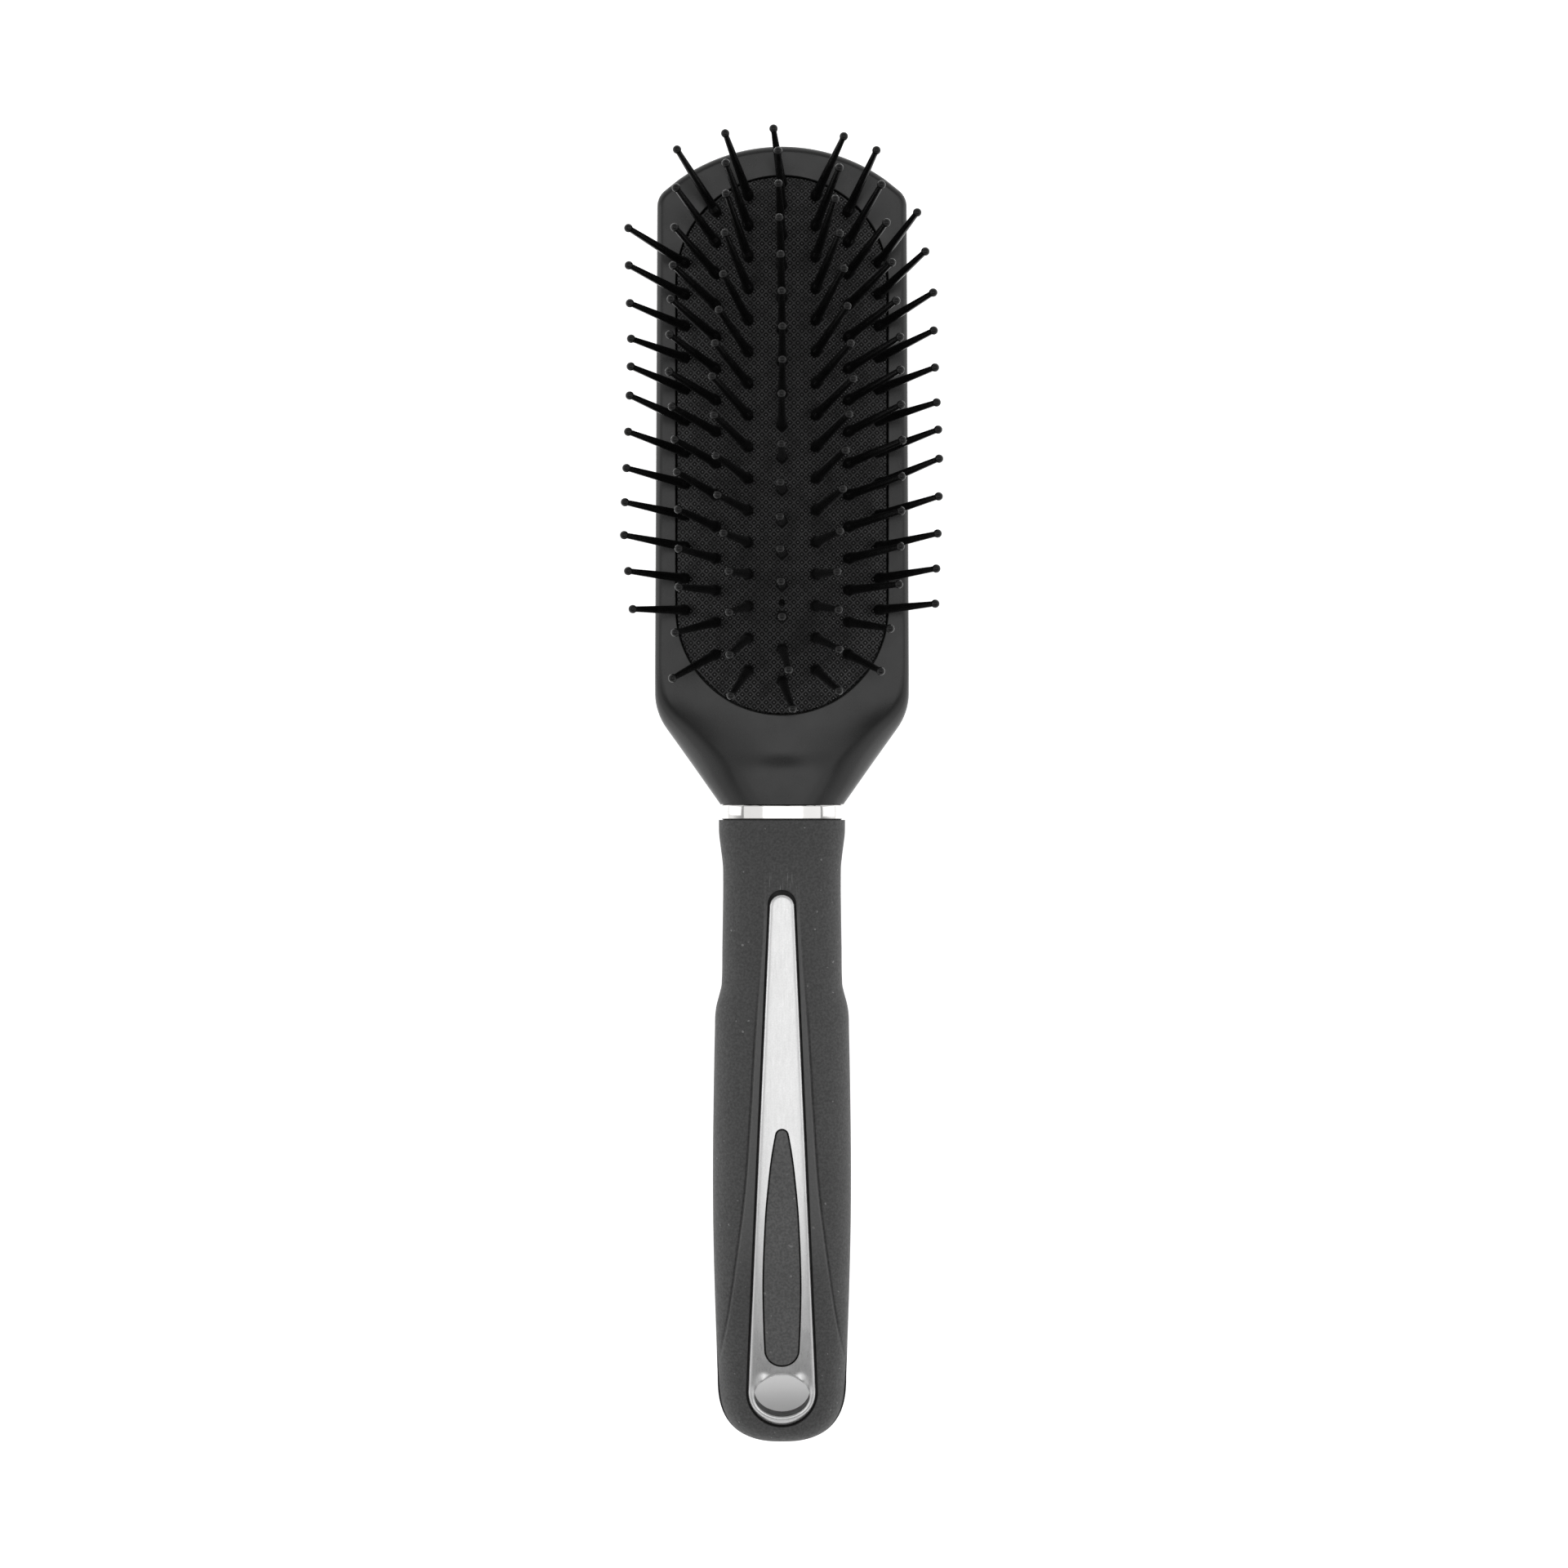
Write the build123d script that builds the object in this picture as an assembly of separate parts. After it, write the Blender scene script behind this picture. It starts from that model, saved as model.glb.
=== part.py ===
from build123d import *
import os
from math import sin, sqrt

# Paddle brush: a flat paddle head that carries an air cushion with ball-tipped pins, and a soft
# grip handle with a silver inlay and a hang hole. It lies on its back with the pins up.
#
# Frame, in millimetres: X runs across the brush, +Y towards the far end of the head, +Z out of the
# pin side. The origin is under the middle of the overall length, on the plane the back rests on.

# ---- driving dimensions --------------------------------------------------------------------------
OVERALL_LENGTH = 240.4
HEAD_FAR_Y = OVERALL_LENGTH / 2
TAIL_Y = -OVERALL_LENGTH / 2

# paddle head
HEAD_THICK = 12.5
NECK_Y = -1.65
NECK_HALF_WIDTH = 11.5
SHOULDER_Y = 15.4
SHOULDER_HALF_WIDTH = 23.55
SHOULDER_ROUND = 11.0
CORNER_Y = 110.8
CORNER_HALF_WIDTH = 23.1
CORNER_ROUND = 3.8
FRONT_EDGE_ROUND = 2.2
BACK_EDGE_ROUND = 3.0

# air cushion
PAD_CENTRE_Y = 64.8
PAD_LENGTH = 99.2
PAD_HALF_WIDTH = 19.35
PAD_CROWN = 6.0
PAD_RIM_Z = HEAD_THICK
SKIN_THICK = 1.6
SKIRT_THICK = 0.9
FLANGE_REACH = 1.0
FLANGE_THICK = 1.0
FLANGE_Z = 9.0
VENT_Y = 35.4
VENT_RADIUS = 0.65
PAD_GAP = 0.25
GROOVE_PLAY = 0.2
RECESS_FLOOR_Z = 4.0

# pins
PIN_LENGTH = 19.0
PIN_BALL_RADIUS = 0.78
PIN_TIP_RADIUS = 0.52
PIN_SHAFT_RADIUS = 0.85
PIN_COLLAR_RADIUS = 1.05
PIN_COLLAR_START = 0.5
PIN_COLLAR_LENGTH = 0.9
PIN_COLLAR_FADE = 0.9
PIN_HEAD_RADIUS = 1.25
PIN_HEAD_THICK = 0.6
PIN_HEAD_DEPTH = 2.6
PIN_HOLE_PLAY = 0.06
FIRST_PIN_Y = 21.25
ROW_PITCH = 5.81
LAST_ROW_STEP = 4.4
# one entry a column, from the centre outwards: place across, and offset along the brush from the
# centre pin of the same row
COLUMNS = {"centre": (0.0, 0.0), "inner": (6.1, 2.0), "middle": (12.0, -0.9), "outer": (17.65, 1.4)}
# rows each column takes part in, counted from the handle end: first and one past the last
COLUMN_ROWS = {"centre": (0, 17), "inner": (0, 16), "middle": (1, 16), "outer": (2, 14)}
# each column rocks in three groups: near the handle, mid and far
ZONE_ROWS = {"near": (0, 6), "mid": (6, 11), "far": (11, 17)}
# how far a column's pin tips stand over, read between stations along the brush. A station is its
# place along the brush, the way outwards (towards +X on the centre column) and the way along it
LEANS = {
    "centre": ((21, 1.8, -5.6), (27, 1.0, -4.4), (33, -0.2, -0.8), (61, 0, 0.5), (68, -0.2, 4.4),
               (91, -0.2, 6.2), (108, -0.4, 8.4), (113, -1.6, 8.2)),
    "left_inner": ((23, 2.9, -5.2), (41, 3.7, -0.6), (52, 5.9, 2.0), (70, 6.4, 5.7), (87, 4.6, 6.9),
                   (99, 4.4, 9.8), (110, 4.4, 10.1)),
    "right_inner": ((23, 4.2, -4.6), (41, 3.8, -0.2), (52, 5.2, 2.8), (70, 7.0, 5.7), (81, 5.6, 6.8),
                    (99, 3.7, 9.2), (110, 5.6, 9.1)),
    "left_middle": ((26, 7.8, -5.5), (38, 6.6, 0.2), (55, 7.4, 2.9), (73, 8.5, 4.1), (90, 7.8, 5.8),
                    (107, 7.6, 9.8)),
    "right_middle": ((26, 6.0, -3.7), (38, 9.2, 0.4), (61, 10.4, 3.5), (78, 9.7, 4.3), (96, 6.9, 7.7),
                     (107, 5.5, 9.7)),
    "left_outer": ((34, 9.7, -0.5), (46, 11.1, 1.2), (69, 10.6, 3.2), (81, 10.2, 2.2), (98, 10.3, 4.6)),
    "right_outer": ((34, 10.8, 0.2), (57, 11.0, 3.6), (69, 10.8, 2.2), (87, 10.4, 4.6), (98, 7.0, 7.8)),
}
LEAN_SCATTER = 0.3

# neck ring and tang
RING_LENGTH = 2.9
RING_INSET = 0.3
RING_ROUND = 4.6
RING_EDGE = 0.5
TANG_WIDTH = 12.0
TANG_THICK = 6.6
TANG_REACH = 30.0
TANG_ROUND = 1.5
TANG_PLAY = 0.1

# handle: place along the brush, width, height of the back, height of the front, corner rounding
HANDLE_TOP_Y = NECK_Y - RING_LENGTH
HANDLE_SECTIONS = (
    (HANDLE_TOP_Y, 23.6, 0.1, 13.0, 5.0),
    (-9.0, 23.0, 0.3, 13.2, 5.4),
    (-14.0, 22.0, 0.4, 13.4, 5.9),
    (-24.0, 22.1, 0.4, 13.8, 6.3),
    (-34.0, 22.5, 0.3, 14.4, 6.4),
    (-41.0, 24.8, 0.2, 15.0, 6.6),
    (-54.0, 25.4, 0.1, 16.0, 6.8),
    (-69.0, 25.7, 0.1, 16.4, 7.0),
    (-84.0, 25.5, 0.5, 15.8, 6.6),
    (-98.0, 24.7, 1.6, 14.4, 5.6),
    (-110.0, 24.0, 2.8, 12.7, 4.5),
    (TAIL_Y - 1.0, 23.5, 3.7, 11.6, 3.6),
)
TAIL_END_RADIUS = 19.0
TAIL_CORNER_ROUND = 7.0
TAIL_NOSE_Y = -108.0
TAIL_NOSE_ROUND = 3.6
SLEEVE_THICK = 1.8

# inlay, its insert and the hang hole
GROOVE = 0.35
INLAY_TOP_Y = -18.3
INLAY_TOP_RADIUS = 2.3
INLAY_END_Y = -116.6
INLAY_END_RADIUS = 6.25
INSERT_TOP_Y = -61.5
INSERT_TOP_RADIUS = 0.9
INSERT_BULGE_Y = -75.5
INSERT_BULGE_RADIUS = 2.72
INSERT_WIDE_Y = -90.4
INSERT_WIDE_RADIUS = 3.35
INSERT_END_Y = -105.3
INSERT_END_RADIUS = 2.8
INSERT_GAP = 0.12
HOLE_Y = -111.2
HOLE_HALF_WIDTH = 5.15
HOLE_HALF_HEIGHT = 4.0

FAR_UP = 60.0


def dome_height(x, y):
    """Height of the cushion's outer face: a barrel vault with ball-shaped ends."""
    straight = PAD_LENGTH / 2 - PAD_HALF_WIDTH
    past_end = max(0.0, abs(y - PAD_CENTRE_Y) - straight)
    radius = dome_radius()
    centre_z = PAD_RIM_Z + PAD_CROWN - radius
    return centre_z + sqrt(radius**2 - x**2 - past_end**2)


def dome_radius():
    return (PAD_HALF_WIDTH**2 + PAD_CROWN**2) / (2 * PAD_CROWN)


def stadium(radius, straight, low_z, high_z):
    """A flat-sided block with round ends, centred on the pad."""
    plan = Pos(0, PAD_CENTRE_Y, low_z) * SlotCenterToCenter(straight, 2 * radius, rotation=90)
    return extrude(plan, high_z - low_z)


# ---- paddle head ---------------------------------------------------------------------------------
def head_outline():
    edge = Polyline(
        (CORNER_HALF_WIDTH, CORNER_Y),
        (SHOULDER_HALF_WIDTH, SHOULDER_Y),
        (NECK_HALF_WIDTH, NECK_Y),
        (-NECK_HALF_WIDTH, NECK_Y),
        (-SHOULDER_HALF_WIDTH, SHOULDER_Y),
        (-CORNER_HALF_WIDTH, CORNER_Y),
    )
    far_arc = ThreePointArc(
        (-CORNER_HALF_WIDTH, CORNER_Y), (0, HEAD_FAR_Y), (CORNER_HALF_WIDTH, CORNER_Y)
    )
    face = make_face(edge + far_arc)
    corners = face.vertices().filter_by_position(Axis.Y, CORNER_Y - 1, CORNER_Y + 1)
    face = fillet(corners, CORNER_ROUND)
    shoulders = face.vertices().filter_by_position(Axis.Y, SHOULDER_Y - 1, SHOULDER_Y + 1)
    return fillet(shoulders, SHOULDER_ROUND)


def tang(play):
    """The tongue that joins the head to the handle, or with play its socket."""
    section = RectangleRounded(TANG_WIDTH + 2 * play, TANG_THICK + 2 * play, TANG_ROUND)
    start = Plane(origin=(0, NECK_Y + 2, HEAD_THICK / 2), x_dir=(1, 0, 0), z_dir=(0, -1, 0))
    return extrude(start * section, TANG_REACH + 2 + play)


def beyond_neck(edges):
    """All of the edges but the one on the neck's end, which stays sharp against the ring."""
    return edges.filter_by_position(Axis.Y, NECK_Y, HEAD_FAR_Y, inclusive=(False, True))


def paddle_head():
    straight = PAD_LENGTH - 2 * PAD_HALF_WIDTH
    body = extrude(head_outline(), HEAD_THICK)
    front_edges = body.faces().sort_by(Axis.Z)[-1].edges()
    body = fillet(beyond_neck(front_edges), FRONT_EDGE_ROUND)
    back_edges = body.faces().sort_by(Axis.Z)[0].edges()
    body = fillet(beyond_neck(back_edges), BACK_EDGE_ROUND)
    body -= stadium(PAD_HALF_WIDTH + PAD_GAP, straight, RECESS_FLOOR_Z, FAR_UP)
    groove_radius = PAD_HALF_WIDTH + FLANGE_REACH + GROOVE_PLAY
    groove_top = FLANGE_Z + FLANGE_THICK + GROOVE_PLAY
    body -= stadium(groove_radius, straight, FLANGE_Z - GROOVE_PLAY, groove_top)
    return body + tang(0)


# ---- air cushion ---------------------------------------------------------------------------------
def cushion_half_section():
    """Half of the rubber's section: domed skin, skirt and the flange that locks in the head."""
    outer = dome_radius()
    inner = outer - SKIN_THICK
    centre_z = PAD_RIM_Z + PAD_CROWN - outer
    crown_z = PAD_RIM_Z + PAD_CROWN
    rim = PAD_HALF_WIDTH
    skirt = rim - SKIRT_THICK
    flange = rim + FLANGE_REACH
    flange_top = FLANGE_Z + FLANGE_THICK
    half = rim / 2

    def on(radius, x):
        return (x, centre_z + sqrt(radius**2 - x**2))

    outline = (
        ThreePointArc((0, crown_z), on(outer, half), (rim, PAD_RIM_Z))
        + Polyline((rim, PAD_RIM_Z), (rim, flange_top), (flange, flange_top), (flange, FLANGE_Z))
        + Polyline((flange, FLANGE_Z), (skirt, FLANGE_Z), on(inner, skirt))
        + ThreePointArc(on(inner, skirt), on(inner, half), (0, crown_z - SKIN_THICK))
        + Line((0, crown_z - SKIN_THICK), (0, crown_z))
    )
    upright = Plane(origin=(0, 0, 0), x_dir=(1, 0, 0), z_dir=(0, -1, 0))
    return upright * make_face(outline)


def air_cushion(places):
    half = cushion_half_section()
    straight = PAD_LENGTH / 2 - PAD_HALF_WIDTH
    end = revolve(half, Axis.Z, 180)
    far_end = Pos(0, PAD_CENTRE_Y + straight, 0) * end
    near_end = Pos(0, PAD_CENTRE_Y - straight, 0) * Rot(0, 0, 180) * end
    side = extrude(half, 2 * straight, dir=(0, 1, 0))
    side = Pos(0, PAD_CENTRE_Y - straight, 0) * side
    skin = side + mirror(side, Plane.YZ) + far_end + near_end
    drill = Cylinder(PIN_SHAFT_RADIUS + PIN_HOLE_PLAY, 4 * SKIN_THICK)
    skin -= [place * drill for place in places]
    vent = Pos(0, VENT_Y, dome_height(0, VENT_Y)) * Cylinder(VENT_RADIUS, 4 * SKIN_THICK)
    return skin - vent


# ---- pins ----------------------------------------------------------------------------------------
def pin():
    """One moulded pin, standing on +Z, with z = 0 where it leaves the cushion."""
    head_top = -PIN_HEAD_DEPTH
    head_base = head_top - PIN_HEAD_THICK
    collar_top = PIN_COLLAR_START + PIN_COLLAR_LENGTH
    fade_top = collar_top + PIN_COLLAR_FADE
    ball_z = PIN_LENGTH - PIN_BALL_RADIUS
    throat_z = ball_z - sqrt(PIN_BALL_RADIUS**2 - PIN_TIP_RADIUS**2)
    side = Polyline(
        (0, head_base),
        (PIN_HEAD_RADIUS, head_base),
        (PIN_HEAD_RADIUS, head_top),
        (PIN_SHAFT_RADIUS, head_top),
        (PIN_SHAFT_RADIUS, PIN_COLLAR_START),
        (PIN_COLLAR_RADIUS, PIN_COLLAR_START),
        (PIN_COLLAR_RADIUS, collar_top),
        (PIN_SHAFT_RADIUS, fade_top),
        (PIN_TIP_RADIUS, throat_z),
    )
    ball = ThreePointArc((PIN_TIP_RADIUS, throat_z), (PIN_BALL_RADIUS, ball_z), (0, PIN_LENGTH))
    axis = Line((0, PIN_LENGTH), (0, head_base))
    upright = Plane(origin=(0, 0, 0), x_dir=(1, 0, 0), z_dir=(0, -1, 0))
    return revolve(upright * make_face(side + ball + axis), Axis.Z)


def lean_at(stations, y):
    """How far a tip stands over, outwards and along the brush, read between the stations."""
    for (y0, out0, along0), (y1, out1, along1) in zip(stations, stations[1:]):
        if y <= y1:
            share = max(0.0, (y - y0) / (y1 - y0))
            return out0 + (out1 - out0) * share, along0 + (along1 - along0) * share
    return stations[-1][1:]


def row_y(row):
    """Place of a row's centre pin: an even pitch, with a shorter last step."""
    last = COLUMN_ROWS["centre"][1] - 1
    if row == last:
        return FIRST_PIN_Y + (last - 1) * ROW_PITCH + LAST_ROW_STEP
    return FIRST_PIN_Y + row * ROW_PITCH


def pin_place(column, label, side, row):
    """Where one pin stands on the cushion and which way it points."""
    across, offset = COLUMNS[column]
    x = side * across
    y = row_y(row) + offset
    outwards, along = lean_at(LEANS[label], y)
    scatter_x = LEAN_SCATTER * sin(7.0 * row + 3.0 * across + side)
    scatter_y = LEAN_SCATTER * sin(5.0 * row + 1.7 * across - side)
    lean_x = (side * outwards + scatter_x) / PIN_LENGTH
    lean_y = (along + scatter_y) / PIN_LENGTH
    upright = sqrt(1 - lean_x**2 - lean_y**2)
    base = (x, y, dome_height(x, y))
    return Plane(origin=base, z_dir=(lean_x, lean_y, upright)).location


def pin_groups():
    """Node name to the places of its pins, for every column and zone."""
    groups = {}
    for column, (first, past_last) in COLUMN_ROWS.items():
        sides = {"centre": 1} if column == "centre" else {"left": -1, "right": 1}
        for side_name, side in sides.items():
            label = column if side_name == "centre" else f"{side_name}_{column}"
            for zone, (zone_first, zone_past) in ZONE_ROWS.items():
                rows = range(max(first, zone_first), min(past_last, zone_past))
                places = [pin_place(column, label, side, row) for row in rows]
                groups[f"pins_{label}_{zone}"] = places
    return groups


# ---- neck ring -----------------------------------------------------------------------------------
def across_plane(y, z):
    """A plane square to the brush's length, seen from the handle end."""
    return Plane(origin=(0, y, z), x_dir=(1, 0, 0), z_dir=(0, -1, 0))


def neck_ring():
    width = 2 * (NECK_HALF_WIDTH - RING_INSET)
    section = RectangleRounded(width, HEAD_THICK - 2 * RING_INSET, RING_ROUND)
    ring = extrude(across_plane(NECK_Y, HEAD_THICK / 2) * section, RING_LENGTH)
    rims = ring.edges().group_by(Axis.Y)[0] + ring.edges().group_by(Axis.Y)[-1]
    return fillet(rims, RING_EDGE) - tang(TANG_PLAY)


# ---- handle --------------------------------------------------------------------------------------
def handle_form(inset):
    """The handle's solid outer form, or a form that lies the given distance inside it."""
    sections = []
    for y, width, back, front, rounding in HANDLE_SECTIONS:
        plane = across_plane(y, (back + front) / 2)
        wide = width - 2 * inset
        high = front - back - 2 * inset
        sections.append(plane * RectangleRounded(wide, high, rounding - inset))
    return loft(sections) & extrude(tail_outline(inset), FAR_UP) & tail_nose(inset)


def tail_nose(inset):
    """A block with the handle's rounded nose as seen from the side, clear of the rest of it."""
    _, _, start_back, start_front, _ = HANDLE_SECTIONS[-3]
    _, _, back, front, _ = HANDLE_SECTIONS[-1]
    end_y = TAIL_Y + inset
    outline = Polyline(
        (0, -FAR_UP),
        (0, FAR_UP),
        (TAIL_NOSE_Y, FAR_UP),
        (TAIL_NOSE_Y, start_front),
        (end_y, front - inset),
        (end_y, back + inset),
        (TAIL_NOSE_Y, start_back),
        (TAIL_NOSE_Y, -FAR_UP),
        close=True,
    )
    face = make_face(outline)
    corners = face.vertices().filter_by_position(Axis.X, end_y - 0.1, end_y + 0.1)
    face = fillet(corners, TAIL_NOSE_ROUND - inset)
    side_plane = Plane(origin=(-FAR_UP / 2, 0, 0), x_dir=(0, 1, 0), z_dir=(1, 0, 0))
    return extrude(side_plane * face, FAR_UP)


def tail_outline(inset):
    """Plan outline that rounds the handle's tail, wide and open towards the neck."""
    wide = HANDLE_SECTIONS[-1][1] / 2 - inset
    radius = TAIL_END_RADIUS - inset
    end_y = TAIL_Y + inset
    corner_y = end_y + radius - sqrt(radius**2 - wide**2)
    flare_y = HANDLE_SECTIONS[-2][0]
    flare = HANDLE_SECTIONS[-2][1] / 2 - inset
    sides = Polyline((-wide, corner_y), (-flare, flare_y), (-FAR_UP, flare_y), (-FAR_UP, 0))
    sides += Polyline((-FAR_UP, 0), (FAR_UP, 0), (FAR_UP, flare_y), (flare, flare_y), (wide, corner_y))
    face = make_face(sides + ThreePointArc((wide, corner_y), (0, end_y), (-wide, corner_y)))
    corners = face.vertices().filter_by_position(Axis.Y, end_y, corner_y + 0.5)
    return fillet(corners, TAIL_CORNER_ROUND - inset)


def hull_block(discs):
    """An upright block round some discs on the middle line, each a place along it and a radius."""
    edges = ShapeList()
    for y, radius in discs:
        edges += (Pos(0, y) * Circle(radius)).edges()
    return extrude(make_hull(edges), FAR_UP)


def inlay_block(grow):
    """A long drop: a small round end towards the neck, straight sides and a large round end."""
    top = (INLAY_TOP_Y - INLAY_TOP_RADIUS, INLAY_TOP_RADIUS + grow)
    end = (INLAY_END_Y + INLAY_END_RADIUS, INLAY_END_RADIUS + grow)
    return hull_block([top, end])


def insert_block(grow):
    """The inlay's window: a slim wedge that bulges, then draws in to a rounded foot."""
    tip = (INSERT_TOP_Y - INSERT_TOP_RADIUS, INSERT_TOP_RADIUS + grow)
    bulge = (INSERT_BULGE_Y, INSERT_BULGE_RADIUS + grow)
    wide = (INSERT_WIDE_Y, INSERT_WIDE_RADIUS + grow)
    foot = (INSERT_END_Y + INSERT_END_RADIUS, INSERT_END_RADIUS + grow)
    return hull_block([tip, bulge, wide, foot])


def hang_hole():
    return Pos(0, HOLE_Y, 0) * extrude(Ellipse(HOLE_HALF_WIDTH, HOLE_HALF_HEIGHT), FAR_UP)


def front_half():
    """The space in front of the handle's mid-plane."""
    standing = (Align.CENTER, Align.CENTER, Align.MIN)
    return Pos(0, TAIL_Y / 2, HEAD_THICK / 2) * Box(FAR_UP, 2 * FAR_UP, FAR_UP, align=standing)


def handle_core(core_form):
    return core_form - tang(TANG_PLAY) - hang_hole()


def grip_sleeve(outer_form, core_form):
    channel = inlay_block(GROOVE) & front_half()
    return outer_form - core_form - channel - tang(TANG_PLAY) - hang_hole()


def silver_inlay(outer_form, core_form):
    strip = (outer_form - core_form) & (inlay_block(0) & front_half())
    return strip - insert_block(INSERT_GAP) - hang_hole()


def inlay_insert(outer_form, core_form):
    return (outer_form - core_form) & (insert_block(0) & front_half())


# ---- all pieces ----------------------------------------------------------------------------------
def main():
    groups = pin_groups()
    one_pin = pin()
    outer_form = handle_form(0)
    core_form = handle_form(SLEEVE_THICK)
    nodes = {
        "paddle_head": paddle_head(),
        "air_cushion": air_cushion([place for places in groups.values() for place in places]),
        "neck_ring": neck_ring(),
        "handle_core": handle_core(core_form),
        "grip_sleeve": grip_sleeve(outer_form, core_form),
        "silver_inlay": silver_inlay(outer_form, core_form),
        "inlay_insert": inlay_insert(outer_form, core_form),
    }
    for name, places in groups.items():
        nodes[name] = Compound(children=[place * one_pin for place in places])
    os.makedirs("parts", exist_ok=True)
    for name, shape in nodes.items():
        export_step(shape, f"parts/{name}.step")


main()
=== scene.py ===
import math

import bpy
import numpy as np
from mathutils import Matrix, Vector


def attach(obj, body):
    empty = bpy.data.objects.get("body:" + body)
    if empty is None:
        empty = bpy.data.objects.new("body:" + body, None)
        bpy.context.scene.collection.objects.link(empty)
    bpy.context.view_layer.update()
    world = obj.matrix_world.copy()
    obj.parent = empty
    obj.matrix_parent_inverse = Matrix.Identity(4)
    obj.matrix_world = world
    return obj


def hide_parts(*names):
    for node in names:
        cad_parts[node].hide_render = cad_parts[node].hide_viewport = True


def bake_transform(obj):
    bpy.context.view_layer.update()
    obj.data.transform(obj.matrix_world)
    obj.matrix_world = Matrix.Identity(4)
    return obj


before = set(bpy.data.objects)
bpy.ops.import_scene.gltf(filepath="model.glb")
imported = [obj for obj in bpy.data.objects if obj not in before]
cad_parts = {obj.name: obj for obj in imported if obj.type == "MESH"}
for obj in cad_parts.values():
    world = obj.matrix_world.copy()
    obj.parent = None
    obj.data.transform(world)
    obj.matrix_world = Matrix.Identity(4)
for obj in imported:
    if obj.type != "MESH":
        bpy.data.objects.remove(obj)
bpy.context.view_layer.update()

MM = 0.001
# how far from a corner of a straight end the points beside it still draw away from it
CORNER_REACH = 14.0
# grey values over which a speckle's dots fade in
SPECKLE_EDGE = 0.03


# ---- small helpers -------------------------------------------------------------------------------
def smoothstep(value, start, end):
    t = np.clip((value - start) / (end - start), 0.0, 1.0)
    return t * t * (3 - 2 * t)


def through(stations, value):
    """A smooth curve through (place, height) stations, read at a value or an array of them."""
    places = np.array([s[0] for s in stations], float)
    heights = np.array([s[1] for s in stations], float)
    slopes = np.gradient(heights, places)
    value = np.clip(np.asarray(value, float), places.min(), places.max())
    order = np.argsort(places)
    places, heights, slopes = places[order], heights[order], slopes[order]
    i = np.clip(np.searchsorted(places, value) - 1, 0, len(places) - 2)
    step = places[i + 1] - places[i]
    t = (value - places[i]) / step
    return (
        heights[i] * (1 + 2 * t) * (1 - t) ** 2
        + slopes[i] * step * t * (1 - t) ** 2
        + heights[i + 1] * t * t * (3 - 2 * t)
        + slopes[i + 1] * step * t * t * (t - 1)
    )


def resample(points, count):
    """A closed line's points, spread evenly along it."""
    loop = np.vstack([points, points[:1]])
    run = np.concatenate([[0], np.cumsum(np.linalg.norm(np.diff(loop, axis=0), axis=1))])
    places = np.linspace(0, run[-1], count, endpoint=False)
    return np.column_stack([np.interp(places, run, loop[:, k]) for k in range(2)])


def on_circle(centre, radius, angles):
    """Points of a circle at angles in radians."""
    x = centre[0] + radius * np.cos(angles)
    y = centre[1] + radius * np.sin(angles)
    return np.column_stack([x, y])


def arc(centre, radius, start, end, count):
    """Points of an arc, angles in degrees."""
    return on_circle(centre, radius, np.radians(np.linspace(start, end, count)))


def rounded_corner(before, corner, after, radius, count=24):
    """The corner of a line, replaced by an arc that touches both of its sides."""
    before, corner, after = (np.array(p, float) for p in (before, corner, after))
    first = (before - corner) / np.linalg.norm(before - corner)
    second = (after - corner) / np.linalg.norm(after - corner)
    half = math.acos(np.clip(first @ second, -1, 1)) / 2
    reach = radius / math.tan(half)
    bisector = (first + second) / np.linalg.norm(first + second)
    centre = corner + bisector * radius / math.sin(half)
    start, end = corner + first * reach, corner + second * reach
    a = math.atan2(*(start - centre)[::-1])
    b = math.atan2(*(end - centre)[::-1])
    turn = (b - a + math.pi) % (2 * math.pi) - math.pi
    return on_circle(centre, radius, a + np.linspace(0, 1, count) * turn)


def mirrored(right):
    """A closed outline from its right half, which runs from the low middle to the high middle."""
    left = right[::-1] * (-1, 1)
    keep = [p for p in left if abs(p[0]) > 1e-6]
    return np.vstack([right, keep])


def inset(points, distance, end_y=None):
    """A closed counter-clockwise outline, moved inwards. A straight end at end_y shrinks with it,
    and the points beside the end's corners draw away from them, so the loop never folds."""
    before = points - np.roll(points, 1, axis=0)
    after = np.roll(points, -1, axis=0) - points
    before /= np.linalg.norm(before, axis=1)[:, None]
    after /= np.linalg.norm(after, axis=1)[:, None]
    along = before + after
    along /= np.linalg.norm(along, axis=1)[:, None]
    moved = points + np.column_stack([-along[:, 1], along[:, 0]]) * distance
    if end_y is None:
        return moved
    on_end = np.abs(points[:, 1] - end_y) < 1e-6
    inward = np.sign(points[:, 1].mean() - end_y)
    corner_x = points[on_end, 0].max()
    corners = np.column_stack([np.sign(points[:, 0]) * corner_x, np.full(len(points), end_y)])
    from_corner = np.linalg.norm(points - corners, axis=1)
    side = np.where(on_end, 1e9, from_corner).argmin()
    away = (points[side] - corners[side]) * (np.sign(points[side, 0]), 1)
    away /= np.linalg.norm(away)
    draw = distance / math.tan(math.acos(-away[0]) / 2)
    share = np.clip(1 - from_corner / CORNER_REACH, 0, 1)[:, None]
    drawn = np.column_stack([np.sign(points[:, 0]) * away[0], np.full(len(points), away[1])])
    moved = moved + draw * share * drawn
    shrunk = points[:, 0] * (1 - draw / corner_x)
    end_line = np.full(len(points), end_y + inward * distance)
    moved[on_end] = np.column_stack([shrunk, end_line])[on_end]
    return moved


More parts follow.
